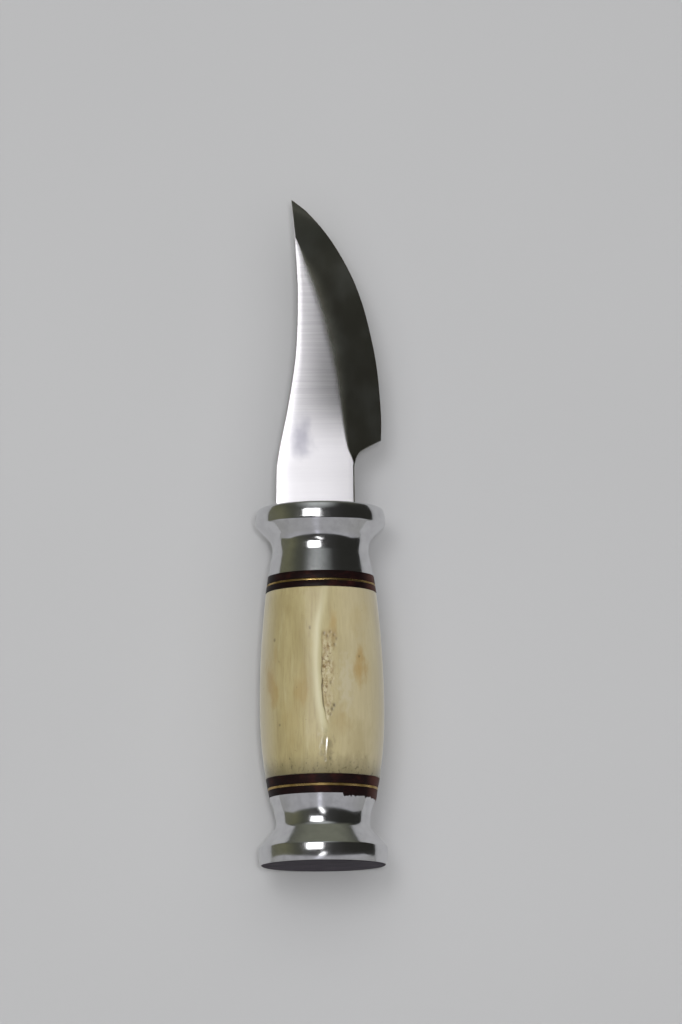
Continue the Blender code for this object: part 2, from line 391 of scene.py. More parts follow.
def tang_slot(y):
    share = (blade_start - y) / tang_length
    half_width = between(tang_width, tang_end_width, share) / 2 + clearance
    return slot_ring(half_width, tang_thickness / 2 + clearance, y)


def skin(name, rings, loop=False):
    """A mesh over rings of points.

    A ring of one point closes an end. Loop joins the last ring to the first.
    """
    points, rows, faces = [], [], []
    for ring in rings:
        rows.append(range(len(points), len(points) + len(ring)))
        points += ring
    pairs = list(zip(rows, rows[1:]))
    if loop:
        pairs.append((rows[-1], rows[0]))
    for low, high in pairs:
        count = max(len(low), len(high))
        for i in range(count):
            j = (i + 1) % count
            if len(low) == 1:
                faces.append((low[0], high[j], high[i]))
            elif len(high) == 1:
                faces.append((low[i], low[j], high[0]))
            else:
                faces.append((low[i], low[j], high[j], high[i]))
    mesh = bpy.data.meshes.new(name)
    mesh.from_pydata(points, [], faces)
    shape = bmesh.new()
    shape.from_mesh(mesh)
    bmesh.ops.recalc_face_normals(shape, faces=shape.faces)
    shape.to_mesh(mesh)
    shape.free()
    mesh.shade_smooth()
    mesh.set_sharp_from_angle(angle=sharp_angle)
    return mesh


def add_piece(name, mesh, material, node):
    piece = bpy.data.objects.new(name, mesh)
    bpy.context.scene.collection.objects.link(piece)
    mesh.materials.append(material)
    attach(piece, "root")
    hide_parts(node)


# Finishes

noise_roughness = 0.55
spot_ragged = 0.45
# Steel: the bluish smudge
smudge_place = (-0.0042, 0.0250, 0.0145)
smudge_radii = (0.0042, 0.0085, 0.02)
# Its painted highlight, from the guard, and its painted dark reflection, from the tip
painted_highlight_full = 0.0150
painted_highlight_end = 0.0320
painted_dark_tip_begin = 0.0200
painted_dark_tip_full = 0.0080
# Liners: their lighter side, as places across
liner_light = (0.0110, 0.0142)
# Aluminium: how far from the end face its dull tone is full, and where it ends. The tone is a real dull
# finish darkened with painted shade
dull_shaded_full = 0.0001
dull_shaded_end = 0.0003
# Bone: its paler sides, as places across. The right side is partly its own paler tone; the paleness at the
# edges is a painted sheen
pale_right_and_edge_sheen = (-0.0020, 0.0100)
painted_left_edge_sheen = (-0.0110, -0.0150)
# A spot reaches this deep into it
spot_depth = 0.01
# Stains on it: place across and station, half sizes, strength, tone
stains = (
    ((0.0102, 0.0290), (0.0026, 0.0075), 0.75, (160, 130, 70)),
    ((-0.0130, 0.0245), (0.0026, 0.0095), 0.65, (152, 124, 66)),
    ((-0.0050, 0.0215), (0.0028, 0.0080), 0.50, (152, 126, 70)),
    ((-0.0105, 0.0445), (0.0045, 0.0050), 0.40, (140, 124, 80)),
    ((0.0030, 0.0400), (0.0013, 0.0045), 0.60, (162, 134, 78)),
    ((0.0024, 0.0362), (0.0026, 0.0020), 0.60, (148, 122, 74)),
    ((0.0050, 0.0130), (0.0030, 0.0060), 0.35, (154, 130, 78)),
    ((0.0100, 0.0400), (0.0030, 0.0080), 0.30, (160, 138, 84)),
    ((-0.0080, 0.0150), (0.0040, 0.0080), 0.30, (156, 134, 82)),
    ((0.0085, 0.0085), (0.0085, 0.0075), 0.40, (150, 136, 94)),
)
# A paler place on it
pale_place = (0.0062, 0.0235)
pale_radii = (0.0030, 0.0095)
# Dark dots on it: place across and station, half width
dots = (
    ((-0.0122, 0.0356), 0.00035),
    ((-0.0111, 0.0296), 0.00035),
    ((-0.0030, 0.0383), 0.00045),
    ((-0.0059, 0.0014), 0.00055),
    ((-0.0023, 0.0013), 0.00040),
    ((0.0050, 0.0010), 0.00045),
    ((0.0090, 0.0018), 0.00040),
    ((0.0018, 0.0038), 0.00045),
    ((-0.0085, 0.0040), 0.00035),
    ((0.0098, 0.0307), 0.00035),
    ((-0.0110, 0.0130), 0.00030),
    ((-0.0065, 0.0225), 0.00028),
)
dot_stretch = 1.6
# Its glossy spot, and the dark band at its rear end, whose border is uneven
gloss_place = (0.0012, 0.0066)
gloss_radii = (0.0024, 0.0048)
rear_band_end = 0.0060
rear_band_full = -0.0008
rear_band_wave = 0.0012


def srgb(red, green, blue):
    """A colour as seen on a screen, 0 to 255, in the renderer's linear light."""
    return tuple(
        ((value / 255 + 0.055) / 1.055) ** 2.4 if value > 10 else value / 255 / 12.92
        for value in (red, green, blue)
    ) + (1,)


def add_node(tree, kind, inputs=None, **settings):
    made = tree.nodes.new("ShaderNode" + kind)
    for key, value in settings.items():
        setattr(made, key, value)
    for key, value in (inputs or {}).items():
        if isinstance(value, bpy.types.NodeSocket):
            tree.links.new(value, made.inputs[key])
        else:
            made.inputs[key].default_value = value
    return made


def distance_from(tree, place, centre, stretch):
    """Distance of a place from a centre, stretched along each direction."""
    away = add_node(tree, "VectorMath", {0: place, 1: centre}, operation="SUBTRACT").outputs[0]
    away = add_node(tree, "VectorMath", {0: away, 1: stretch}, operation="MULTIPLY").outputs[0]
    return add_node(tree, "VectorMath", {0: away}, operation="LENGTH").outputs["Value"]


def smooth_span(tree, value, low, high, to_low=0.0, to_high=1.0):
    """Goes smoothly from to_low, where the value is low, to to_high, where it is high."""
    inputs = {"Value": value, "From Min": low, "From Max": high, "To Min": to_low, "To Max": to_high}
    return add_node(tree, "MapRange", inputs, interpolation_type="SMOOTHSTEP").outputs["Result"]


class Finish:
    """A material and the nodes that give it its detail."""

    def __init__(self, name, **constants):
        self.material = bpy.data.materials.new(name)
        self.material.use_nodes = True
        self.tree = self.material.node_tree
        self.shader = self.tree.nodes["Principled BSDF"]
        for key, value in constants.items():
            self.shader.inputs[key.replace("_", " ")].default_value = value
        self.place = add_node(self.tree, "TexCoord").outputs["Object"]

    def coordinate(self, axis):
        return add_node(self.tree, "SeparateXYZ", {0: self.place}).outputs[axis]

    def noise(self, stretch, detail=3.0):
        """Noise whose cells have the size 1 / stretch along each direction, in metres."""
        made = add_node(self.tree, "VectorMath", {0: self.place, 1: stretch}, operation="MULTIPLY")
        inputs = {"Vector": made.outputs[0], "Scale": 1.0, "Detail": detail, "Roughness": noise_roughness}
        return add_node(self.tree, "TexNoise", inputs).outputs["Fac"]

    def span(self, *values):
        return smooth_span(self.tree, *values)

    def maths(self, operation, first, second=0.0):
        return add_node(self.tree, "Math", {0: first, 1: second}, operation=operation).outputs[0]

    def mix(self, share, first, second):
        return add_node(self.tree, "Mix", {0: share, 6: first, 7: second}, data_type="RGBA").outputs[2]

    def tones(self, share, first, second):
        """A colour between two tones, as a value goes from 0 to 1."""
        return self.mix(share, srgb(*first), srgb(*second))

    def tint(self, colour, where, strength, tone):
        """The colour with a tone laid over it, where a value says so and at a strength."""
        return self.mix(self.maths("MULTIPLY", where, strength), colour, srgb(*tone))

    def spot(self, centre, radii, ragged):
        """1 at a place on the surface, and 0 outside a ragged ellipse of the given half sizes."""
        distance = distance_from(self.tree, self.place, centre, [1 / radius for radius in radii])
        distance = self.maths("ADD", distance, self.span(ragged, 0.25, 0.75, -spot_ragged, spot_ragged))
        return self.span(distance, 1.0, 0.0)

    def attribute(self, name):
        return add_node(self.tree, "Attribute", attribute_name=name).outputs["Fac"]

    def bump(self, height, distance, under=None):
        inputs = {"Height": height, "Distance": distance, "Strength": 1.0}
        if under is not None:
            inputs["Normal"] = under
        return add_node(self.tree, "Bump", inputs).outputs["Normal"]

    def use(self, **sockets):
        for key, value in sockets.items():
            self.tree.links.new(value, self.shader.inputs[key.replace("_", " ")])
        return self.material


def make_steel():
    steel = Finish("brushed_steel", Metallic=1.0, Anisotropic=0.85, Anisotropic_Rotation=0.25)
    tangent = add_node(steel.tree, "Tangent", direction_type="RADIAL", axis="Y").outputs[0]
    along = steel.coordinate("Y")
    bevel = steel.attribute("bevel")
    fine = steel.noise((60, 2600, 200), detail=2)
    coarse = steel.noise((25, 1000, 60), detail=2)
    patch = steel.noise((120, 90, 120), detail=3)
    smudge = steel.spot(smudge_place, smudge_radii, patch)
    near_guard = steel.span(along, blade_start + painted_highlight_end, blade_start + painted_highlight_full)
    near_tip = steel.span(along, blade_node.end - painted_dark_tip_begin, blade_node.end - painted_dark_tip_full)
    flat_colour = steel.tones(steel.span(coarse, 0.3, 0.7), (194, 191, 196), (206, 204, 207))
    flat_colour = steel.tint(flat_colour, steel.span(fine, 0.35, 0.7), 0.26, (170, 168, 172))
    # Painted highlight: the flat is lighter towards the guard
    flat_colour = steel.tint(flat_colour, near_guard, 0.80, (248, 245, 250))
    flat_colour = steel.tint(flat_colour, smudge, 0.55, (130, 129, 150))
    bevel_colour = steel.tones(steel.span(patch, 0.35, 0.75), (150, 148, 136), (172, 172, 165))
    # Painted dark reflection: the bevel is darker towards the tip
    bevel_colour = steel.tint(bevel_colour, near_tip, 0.75, (108, 108, 98))
    colour = steel.mix(steel.span(bevel, 0.0, 0.4), flat_colour, bevel_colour)
    colour = steel.tint(colour, steel.attribute("edge"), 0.8, (140, 104, 82))
    roughness = steel.span(patch, 0.3, 0.7, 0.29, 0.32)
    roughness = steel.maths("ADD", roughness, steel.maths("MULTIPLY", bevel, -0.13))
    roughness = steel.maths("ADD", roughness, steel.maths("MULTIPLY", near_guard, 0.06))
    return steel.use(Base_Color=colour, Roughness=roughness, Tangent=tangent)


def make_aluminium():
    aluminium = Finish("polished_aluminium", Metallic=1.0)
    along = aluminium.coordinate("Y")
    haze = aluminium.noise((420, 420, 420), detail=4)
    wave = aluminium.noise((190, 150, 190), detail=2)
    lines = aluminium.noise((300, 9000, 300), detail=3)
    dents = aluminium.noise((2600, 2600, 2600), detail=2)
    sanding = aluminium.noise((120, 300, 4200), detail=3)
    end_face = aluminium.span(along, pommel_node.start + dull_shaded_end, pommel_node.start + dull_shaded_full)
    colour = aluminium.tones(aluminium.span(haze, 0.35, 0.7), (214, 214, 216), (204, 204, 206))
    # The end face: sanding marks on a dull finish, darkened with painted shade
    dull_and_shaded_tone = aluminium.tones(aluminium.span(sanding, 0.3, 0.7), (70, 66, 73), (112, 107, 115))
    colour = aluminium.mix(end_face, colour, dull_and_shaded_tone)
    roughness = aluminium.span(haze, 0.35, 0.7, 0.11, 0.16)
    roughness = aluminium.maths("ADD", roughness, aluminium.maths("MULTIPLY", end_face, 0.86))
    surface = aluminium.bump(wave, 0.000022)
    surface = aluminium.bump(lines, 0.0000008, surface)
    surface = aluminium.bump(aluminium.span(dents, 0.70, 0.80), 0.000002, surface)
    return aluminium.use(Base_Color=colour, Roughness=roughness, Normal=surface)


def make_liner():
    liner = Finish("dark_fibre", Specular_IOR_Level=0.12)
    fibres = liner.noise((900, 3500, 900), detail=4)
    blotches = liner.noise((260, 260, 260), detail=3)
    colour = liner.tones(liner.span(fibres, 0.3, 0.75), (15, 9, 9), (30, 13, 13))
    colour = liner.tint(colour, liner.span(blotches, 0.5, 0.75), 0.6, (56, 23, 18))
    light_side = liner.span(liner.coordinate("X"), *liner_light)
    colour = liner.tint(colour, light_side, 0.6, (92, 48, 36))
    roughness = liner.span(blotches, 0.3, 0.7, 0.34, 0.46)
    return liner.use(Base_Color=colour, Roughness=roughness, Normal=liner.bump(fibres, 0.000012))


def make_brass():
    brass = Finish("brass", Metallic=1.0)
    tarnish = brass.noise((330, 700, 330), detail=3)
    lines = brass.noise((500, 12000, 500), detail=2)
    colour = brass.tones(brass.span(tarnish, 0.35, 0.7), (196, 168, 112), (150, 124, 72))
    roughness = brass.span(tarnish, 0.3, 0.7, 0.24, 0.38)
    return brass.use(Base_Color=colour, Roughness=roughness, Normal=brass.bump(lines, 0.000002))


def spot_on_bone(bone, place, radii, ragged):
    """A spot on the upper side of the bone, from its place across the knife and its station on the bone."""
    across, station = place
    half = bone_half_width(station)
    rise = bone_node.flat * math.sqrt(max(half**2 - across**2, 0))
    centre = (across, bone_node.start + station, axis_height + rise)
    return bone.spot(centre, (*radii, spot_depth), ragged)


def make_bone_finish():
    bone = Finish("grown_bone", Specular_IOR_Level=0.55, Coat_Roughness=0.10, Coat_IOR=2.4, Sheen_Weight=0.45)
    cloud = bone.noise((150, 45, 150), detail=4)
    grain = bone.noise((900, 70, 900), detail=4)
    fibre = bone.noise((2400, 180, 2400), detail=3)
    specks = bone.noise((1300, 1100, 1300), detail=3)
    blotch = bone.noise((420, 160, 420), detail=4)
    mottle = bone.noise((1100, 600, 1100), detail=4)
    hollow = bone.attribute("hollow")
    colour = bone.tones(bone.span(cloud, 0.3, 0.7), (156, 142, 97), (173, 160, 116))
    layers = (
        (grain, 0.45, 0.75, 0.42, (144, 127, 86)),
        (grain, 0.45, 0.25, 0.25, (192, 184, 148)),
        (fibre, 0.48, 0.75, 0.34, (130, 113, 74)),
        (blotch, 0.5, 0.8, 0.35, (150, 134, 92)),
    )
    for detail, low, high, strength, tone in layers:
        colour = bone.tint(colour, bone.span(detail, low, high), strength, tone)
    sideways = bone.coordinate("X")
    # Paler right side and left edge: partly the bone's own tone, partly a painted sheen at the edges
    light_side = bone.maths("MAXIMUM", bone.span(sideways, *pale_right_and_edge_sheen), bone.span(sideways, *painted_left_edge_sheen))
    colour = bone.tint(colour, light_side, 0.42, (202, 192, 164))
    for place, radii, strength, tone in stains:
        colour = bone.tint(colour, spot_on_bone(bone, place, radii, blotch), strength, tone)
    pale = spot_on_bone(bone, pale_place, pale_radii, mottle)
    colour = bone.tint(colour, pale, 0.7, (182, 173, 146))
    # Painted highlight along the ridge
    colour = bone.tint(colour, bone.attribute("ridge"), 0.85, (196, 189, 154))
    floor = bone.tones(bone.span(mottle, 0.35, 0.65), (142, 120, 76), (186, 175, 140))
    colour = bone.mix(bone.maths("MULTIPLY", hollow, 0.75), colour, floor)
    pores = bone.span(bone.maths("ADD", specks, bone.maths("MULTIPLY", hollow, 0.16)), 0.69, 0.79)
    colour = bone.tint(colour, pores, 0.70, (112, 88, 50))
    # Painted shade: the dark line at the foot of the crevice's wall, and in its pits
    colour = bone.mix(bone.attribute("crack_shade"), colour, srgb(66, 54, 32))
    for place, size in dots:
        dot = spot_on_bone(bone, place, (size, size * dot_stretch), mottle)
        colour = bone.tint(colour, dot, 0.6, (88, 76, 46))
    wave = bone.span(blotch, 0.2, 0.8, -rear_band_wave, rear_band_wave)
    along = bone.maths("ADD", bone.coordinate("Y"), wave)
    rear = bone.span(along, bone_node.start + rear_band_end, bone_node.start + rear_band_full)
    colour = bone.tint(colour, rear, 0.85, (100, 92, 62))
    rear_specks = bone.maths("MULTIPLY", rear, bone.span(specks, 0.58, 0.68))
    colour = bone.tint(colour, rear_specks, 0.8, (74, 64, 40))
    roughness = bone.span(blotch, 0.3, 0.7, 0.38, 0.50)
    gloss = bone.maths("MULTIPLY", spot_on_bone(bone, gloss_place, gloss_radii, mottle), 2.0)
    gloss = bone.maths("ADD", gloss, 0.05)
    surface = bone.bump(grain, 0.000007)
    surface = bone.bump(fibre, 0.000005, surface)
    surface = bone.bump(bone.maths("MULTIPLY", mottle, hollow), 0.00010, surface)
    return bone.use(Base_Color=colour, Roughness=roughness, Coat_Weight=gloss, Normal=surface)


def make_resin():
    resin = Finish("bedding_resin", Roughness=0.4)
    cloud = resin.noise((300, 300, 300))
    colour = resin.tones(cloud, (120, 92, 58), (160, 130, 88))
    return resin.use(Base_Color=colour, Normal=resin.bump(cloud, 0.00002))


# Shapes


def tangent_turn(drop, reach, radii):
    """Lean of the straight line that joins two arcs. Radii is the sum of theirs."""
    spare = drop - radii
    length = math.sqrt(spare**2 + reach**2 - radii**2)
    return math.atan2(length * spare + radii * reach, length * reach - radii * spare)


def fitting_outline(node, shape):
    """Outer side of a guard or pommel, from its flange's face (along = 0) to its collar's end.

    The rim is crowned, and widest at crown_station. Straight cones join the rim's corner to the hollow of the
    neck, and the hollow to the collar.
    """
    flange, waist, collar = node.half_width, shape.waist_width / 2, shape.collar_width / 2
    face_round, rim_round = shape.face_round, shape.rim_round
    lean = math.asin((shape.crown_station - face_round) / (shape.crown_radius - face_round))
    edge = flange - shape.crown_radius * (1 - math.cos(lean))
    centre = (edge - face_round * math.cos(lean), face_round)
    outline = arc(centre, face_round, -math.pi / 2, -lean, corner_steps)
    centre = (flange - shape.crown_radius, shape.crown_station)
    outline += arc(centre, shape.crown_radius, -lean, 0, crown_steps)[1:]
    radii = rim_round + shape.hollow_radius
    turn = tangent_turn(flange - waist, shape.waist_station - shape.rim_length, radii)
    outline += arc((flange - rim_round, shape.rim_length), rim_round, 0, turn, corner_steps)
    centre = (waist + shape.hollow_radius, shape.waist_station)
    hollow = arc(centre, shape.hollow_radius, math.pi + turn, math.pi, hollow_steps)
    outline += line(outline[-1], hollow[0], cone_steps)[1:] + hollow[1:]
    # The collar's end is a point, so its arc has no radius
    turn = tangent_turn(collar - waist, node.length - shape.waist_station, shape.flare_radius)
    centre = (waist + shape.flare_radius, shape.waist_station)
    flare = arc(centre, shape.flare_radius, math.pi, math.pi - turn, flare_steps)
    return outline + flare[1:] + line(flare[-1], (collar, node.length), cone_steps)[1:]


def make_guard(material):
    outline = fitting_outline(guard_node, guard_shape)
    rings = [oval(half, guard_node.flat, guard_node.end - along) for half, along in outline]
    rings += [tang_slot(guard_node.start), tang_slot(guard_node.end)]
    mesh = skin("polished_guard", rings, loop=True)
    add_piece("polished_guard", mesh, material, "guard")


def make_pommel(material):
    outline = fitting_outline(pommel_node, pommel_shape)
    hole = stud_diameter / 2 + clearance
    hole_end = tang_end - stud_length - clearance
    middle = Vector((0, 0, axis_height))
    rings = [[middle + Vector((0, pommel_node.start, 0))]]
    rings += [oval(half, pommel_node.flat, pommel_node.start + along) for half, along in outline]
    rings += [oval(hole, 1, pommel_node.end), oval(hole, 1, hole_end), [middle + Vector((0, hole_end, 0))]]
    mesh = skin("polished_pommel", rings)
    add_piece("polished_pommel", mesh, material, "pommel")


def collar_half_width(y):
    """Half width of the handle between a collar and the bone."""
    if y < bone_node.start + bone_node.length / 2:
        share = (y - pommel_node.end) / (bone_node.start - pommel_node.end)
        return between(pommel_shape.collar_width, bone_rear_width, share) / 2
    share = (y - bone_node.end) / (guard_node.start - bone_node.end)
    return between(bone_front_width, guard_shape.collar_width, share) / 2


def squeezed_out(turn):
    """How far dark filler spreads from the rear outer liner onto the pommel's collar."""
    turn = (turn + math.pi) % (2 * math.pi) - math.pi
    ends = ramp(turn, filler_begin) * (1 - ramp(turn, filler_finish))
    ragged = noise.fractal(Vector((turn * filler_waves, 0.4, 0.9)), *filler_fractal)
    return max(filler_length * (filler_share + filler_ragged * ragged), 0) * ends


def lay_filler(rear, node, low, turns):
    """Moves the rear corner's rings out to where the filler lies on the pommel's collar."""
    collar_length = pommel_node.length - pommel_shape.waist_station
    collar_slope = (pommel_shape.collar_width - pommel_shape.waist_width) / 2 / collar_length
    tip_rise, tip_back = filler_tip
    for index, turn in enumerate(turns):
        reach = squeezed_out(turn)
        lift = min(reach / (filler_length * filler_full_share), 1)
        tip = low + filler_gap - reach * collar_slope
        places = (
            (low + filler_gap, node.start),
            (tip, node.start - reach),
            (tip + filler_height * tip_rise, node.start - reach + filler_height * tip_back),
            (low + filler_height, node.start + spacer_round),
        )
        for ring, (half, y) in zip(rear, places):
            (aim,) = oval(half, node.flat, y, [turn])
            ring[index] = ring[index].lerp(aim, lift)


def make_spacer(node_name, piece_name, material, filler=False):
    node = Node(node_name)
    low, high = collar_half_width(node.start), collar_half_width(node.end)
    turns = even_turns
    if filler:
        first, last = filler_arc
        turns = evenly(first, last, filler_steps)
        turns += evenly(last, first + 2 * math.pi, plain_steps)[1:-1]
    rings = [
        oval(low - spacer_round * inward, node.flat, node.start + spacer_round * along, turns)
        for inward, along in round_shares
    ]
    if filler:
        lay_filler(rings, node, low, turns)
    rings.append(oval(high, node.flat, node.end - spacer_round, turns))
    rings.append(oval(high - spacer_round, node.flat, node.end, turns))
    if tang_end < node.start:
        rings += [tang_slot(node.end), tang_slot(node.start)]
    else:
        hole = stud_diameter / 2 + clearance
        rings += [oval(hole, 1, node.end, turns), oval(hole, 1, node.start, turns)]
    add_piece(piece_name, skin(piece_name, rings, loop=True), material, node_name)


def bone_half_width(station):
    belly = bone_node.half_width
    if station > bone_belly_station:
        share = (station - bone_belly_station) / (bone_node.length - bone_belly_station)
        return between(belly, bone_front_width / 2, share**2)
    share = (bone_belly_station - station) / bone_belly_station
    return between(belly, bone_rear_width / 2, share**2)


def course(station, column):
    return smooth_value([(row[0], row[column]) for row in crevice_course], station)


def wander(row, station):
    """Unevenness at a station along the bone."""
    size, waves, (left, right) = row
    return size * noise.noise(Vector((left, station * waves, right)))


def noise_place(waves, across, station):
    return Vector((across * waves[0], station * waves[1], waves[2]))


def crevice_relief(across, station):
    """Depth at a place in the crevice, and the weights of its floor and of its dark line."""
    wall = course(station, 1) + wander(wall_wander, station)
    border = course(station, 2) + wander(border_wander, station)
    deepest = max(course(station, 3), 0)
    past = (across - wall) / (border - wall)
    into = ease((across - wall + wall_foot) / wall_width)
    rough = noise.fractal(noise_place(rough_waves, across, station), *rough_fractal)
    depth = deepest * into * (1 - ease(past)) * (1 + rough_share * rough)
    patchy = 1 + patch_share * noise.noise(noise_place(patch_waves, across, station))
    fade = ease(past * floor_fade - (floor_fade - 1))
    hollow = into * (1 - fade) * min(deepest / full_hollow_depth, 1) * patchy
    broken = crack_strength + wander(crack_breaks, station)
    crack_shade = max(course(station, 4), 0) * hump(across - wall - crack_place, crack_half_width) * broken
    for place, spot, size, dark in pits:
        pit = hump(math.hypot(across - place, (station - spot) * pit_squeeze), size)
        depth += pit_depth * pit
        crack_shade = max(crack_shade, dark * pit)
    return depth, min(max(hollow, 0), 1), min(crack_shade, 1)


def bone_relief(across, station):
    """Height on the upper side of the bone, and the weights of its crevice, its dark line and its ridge."""
    depth = hollow = crack_shade = 0.0
    if crevice_course[0][0] < station < crevice_course[-1][0]:
        depth, hollow, crack_shade = crevice_relief(across, station)
    ridge_line = smooth_value(ridge_course, station) + wander(ridge_wander, station)
    ridge_ends = ramp(station, ridge_begin) * (1 - ridge_fade_share * ramp(station, ridge_fade))
    ridge = hump(across - ridge_line, ridge_half_width) * ridge_ends * (1 - min(depth / ridge_free_depth, 1))
    start, end = lip_ends_along
    lip_line = between(*lip_ends_across, (station - start) / (end - start))
    lip_ends = ramp(station, lip_begin) * (1 - ramp(station, lip_finish))
    lip = hump(across - lip_line, lip_half_width) * lip_ends
    return ridge_height * ridge + lip_height * lip - depth, hollow, crack_shade, ridge


def bone_turns():
    """Turns of the points of a ring round the bone, closer together over the crevice."""
    first = math.acos(crevice_right / bone_node.half_width)
    last = math.acos(crevice_left / bone_node.half_width)
    turns = evenly(0, first, side_columns)[:-1]
    turns += evenly(first, last, crevice_columns)
    return turns + evenly(last, 2 * math.pi, round_columns)[1:-1]


def make_bone(material):
    turns = bone_turns()
    bore = marrow_width / 2
    round_waves, along_waves = wear_waves
    rings = [oval(bore, 1, bone_node.end, turns), oval(bore, 1, bone_node.start, turns)]
    weights = {name: [0.0] * 2 * len(turns) for name in ("hollow", "crack_shade", "ridge")}
    for station in evenly(0, bone_node.length, bone_rows):
        half = bone_half_width(station)
        tucked = max(bone_end_round - min(station, bone_node.length - station), 0)
        ring = oval(half - tucked, bone_node.flat, bone_node.start + station, turns)
        for point in ring:
            out = Vector((point.x * bone_node.flat**2, 0, point.z - axis_height)).normalized()
            waves = Vector((point.x * round_waves, point.y * along_waves, point.z * round_waves))
            wear = wear_height * noise.fractal(waves, *wear_fractal)
            rise = hollow = crack_shade = ridge = 0.0
            if point.z > axis_height:
                rise, hollow, crack_shade, ridge = bone_relief(point.x, station)
            point += out * (wear - bone_sink + rise)
            for name, value in (("hollow", hollow), ("crack_shade", crack_shade), ("ridge", ridge)):
                weights[name].append(value)
        rings.append(ring)
    mesh = skin("grown_bone_grip", rings, loop=True)
    for name, values in weights.items():
        mesh.attributes.new(name, "FLOAT", "POINT").data.foreach_set("value", values)
    add_piece("grown_bone_grip", mesh, material, "bone_grip")


def spine_at(share):
    return -between(tip_setback, blade_back, smooth_value(spine_shares, share))


def blade_lines(along):
    """Places across of the back, grind line and front, with half the thickness at the back and front."""
    share = along / blade_length
    half = smooth_value(taper_shares, share) * blade_thickness / 2
    edge_half = edge_thickness / 2
    back = spine_at(share)
    heel_front = spine_at(heel_station / blade_length) + blade_width
    back_round = min(spine_round, (blade_length - along) * tip_round_growth + tip_round)
    if along >= heel_station:
        past = (along - heel_station) / (blade_length - heel_station)
        width = between(tip_width, blade_width, smooth_value(width_shares, past))
        bevel = smooth_value(bevel_shares, past) * bevel_width
        front = back + width
        half = between(edge_half, half, min(1, (width - 2 * back_round) / bevel))
        grind = front - min(bevel, width)
        front_half = edge_half
    elif along > ricasso_length:
        below = (along - ricasso_length) / (heel_station - ricasso_length)
        front = between(ricasso_front, heel_front, smooth_value(notch_shares, below))
        heel_grind = heel_front - bevel_shares[0][1] * bevel_width
        grind = between(ricasso_front, heel_grind, smooth_value(plunge_shares, below))
        front_half = between(half, edge_half, (front - grind) / (heel_front - grind))
    else:
        front = grind = ricasso_front
        front_half = half
    corner = min(back_round, (front - back) * corner_of_width, half * corner_of_half)
    grind = min(max(grind, back + 2 * corner), front - corner)
    front_half = min(front_half, half - corner)
    return back, grind, front, half, front_half, corner


def blade_ring(along):
    """A ring of points round the blade, with the weights of its bevel and of the stain along its edge."""
    back, grind, front, half, front_half, corner = blade_lines(along)
    share = along / blade_length
    flat_width = grind - back - corner
    soft = smooth_value(soft_bands, share) * ease(flat_width / full_flat_width)
    soft = min(soft, flat_width * band_of_flat, (front - grind) * band_of_bevel)
    grind += soft * band_shift
    roll = min(smooth_value(roll_widths, share), (grind - back) / 2)
    bow = flat_bow * ramp(share, bow_growth)
    bowed = max(grind - soft - back - roll, 0)
    first_slope = 2 * bow * bowed
    slope = (half - bow * bowed**2 - first_slope * soft - front_half) / (front - grind)

    def rise(across):
        into = across - grind + soft
        fall = bow * max(min(across, grind - soft) - back - roll, 0) ** 2
        if into > 2 * soft:
            fall += first_slope * soft + slope * (into - soft)
        elif into > 0:
            fall += first_slope * into + (slope - first_slope) * into**2 / (4 * soft)
        rolled = roll_drop * max(1 - (across - back) / roll, 0) ** 2
        return half - fall - min(rolled, half * roll_of_half)

    top = [(back, 0), (back, (half - corner) * back_row)]
    shoulder = rise(back + corner)
    top += [
        (back + corner * (1 - math.cos(turn)), shoulder - corner * (1 - math.sin(turn)))
        for turn in evenly(0, math.pi / 2, back_steps)
    ]
    for low, high, steps in (
        (back + corner, grind - soft, flat_steps),
        (grind - soft, grind + soft, band_steps),
        (grind + soft, front - edge_stain, bevel_steps),
        (front - edge_stain, front, stain_steps),
    ):
        top += [(across, rise(across)) for across in evenly(low, high, steps)[1:]]
    top += [(front, front_half * front_row), (front, 0)]
    band = max(soft, narrowest_band)
    bevel_marks = [ease((across - grind + band) / (2 * band)) for across, up in top]
    edge_marks = [ease((across - front + edge_stain) / edge_stain) for across, up in top]
    lower = [(across, -up) for across, up in top[-2:0:-1]]
    bevel_marks += bevel_marks[-2:0:-1]
    edge_marks += edge_marks[-2:0:-1]
    ring = [Vector((across, blade_start + along, axis_height + up)) for across, up in top + lower]
    if along < heel_station:
        edge_marks = [0.0] * len(ring)
    return ring, bevel_marks, edge_marks


